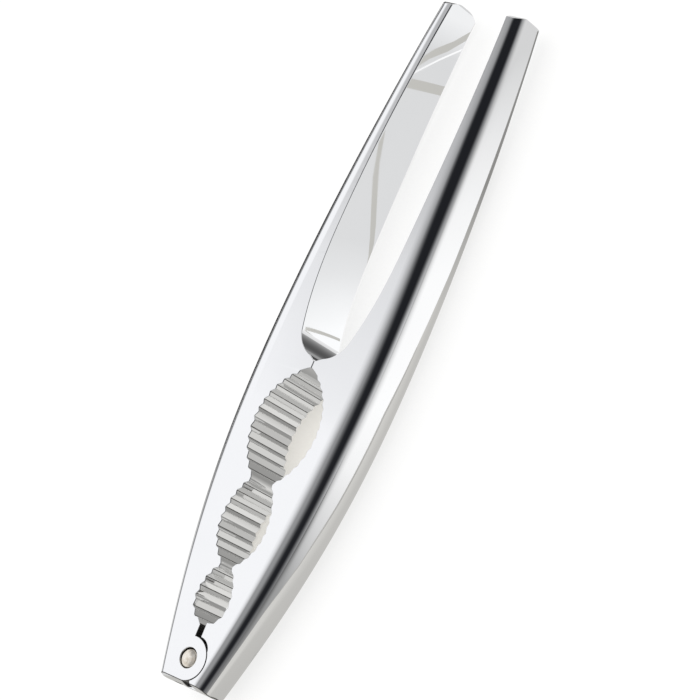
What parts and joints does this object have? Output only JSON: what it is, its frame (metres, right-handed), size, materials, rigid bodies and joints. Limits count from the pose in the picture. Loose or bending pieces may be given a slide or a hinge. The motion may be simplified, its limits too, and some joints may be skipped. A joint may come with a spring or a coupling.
{
  "type": "nutcracker",
  "caption": "Lever nutcracker in polished die-cast metal: two hinged arms with toothed openings of graded size near the pin and long tapering handles.",
  "frame": {"origin": "centre of the bounding box's base: the tool lies flat on its back and touches the table at z = 0", "axes": "+Z along the hinge pin, out of the front face; +Y from the hinge end towards the handle tips; +X towards the right arm"},
  "size_m": [0.0428, 0.1956, 0.0173],
  "materials": {
    "arm_chrome": "mirror-polished chrome plate on die-cast zinc",
    "pin_steel": "plain nickel-toned steel, domed and lightly worn"
  },
  "bodies": {
    "left_lever": {"left_arm": "arm_chrome", "hinge_pin": "pin_steel"},
    "right_lever": {"right_arm": "arm_chrome"}
  },
  "joints": [
    {"name": "jaw_hinge", "type": "hinge", "parent": "left_lever", "child": "right_lever", "pos_m": [0, -0.09075, 0.00865], "axis": [0, 0, -1], "range_deg": [0, 23]}
  ]
}
